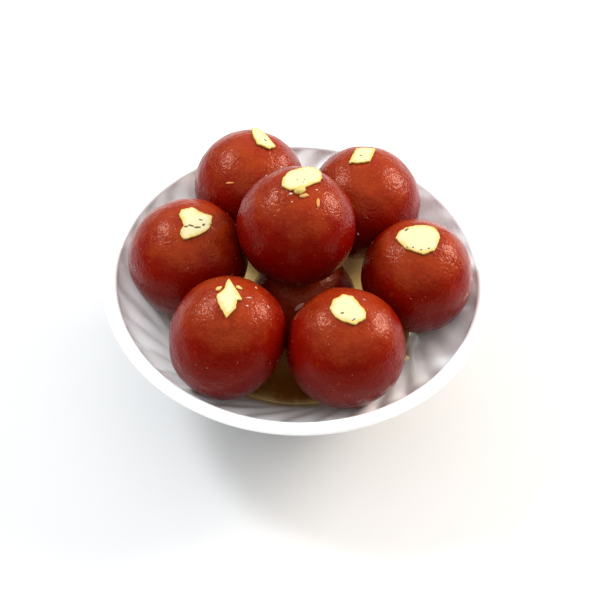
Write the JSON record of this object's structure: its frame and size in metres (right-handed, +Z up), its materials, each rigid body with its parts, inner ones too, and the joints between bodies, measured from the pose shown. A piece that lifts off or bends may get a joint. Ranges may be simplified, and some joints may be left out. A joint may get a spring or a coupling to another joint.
{
  "type": "gulab jamun in a bowl",
  "caption": "Round dark red-brown milk sweets with pale nut flakes, heaped in a shallow white bowl with a pool of golden syrup.",
  "frame": {"origin": "on the table, under the middle of the bowl", "axes": "+Z up, the viewer of the picture stands towards -Y, +X to their right"},
  "size_m": [0.15, 0.15, 0.0947],
  "materials": {
    "china": "glossy white glaze",
    "syrup": "wet golden-brown sugar syrup",
    "crust": "finely wrinkled fried skin, soaked in syrup",
    "nut": "dry pale cut nut"
  },
  "bodies": {
    "root": {"bowl": "china", "syrup": "syrup", "jamun_lower": "crust", "jamun_rear_left": "crust", "jamun_rear_right": "crust", "jamun_right": "crust", "jamun_left": "crust", "jamun_front_right": "crust", "jamun_front_left": "crust", "jamun_top": "crust", "flake_top": "nut", "flake_rear_left": "nut", "flake_rear_right": "nut", "flake_left": "nut", "flake_right": "nut", "flake_front_left": "nut", "flake_front_right": "nut"}
  },
  "joints": []
}
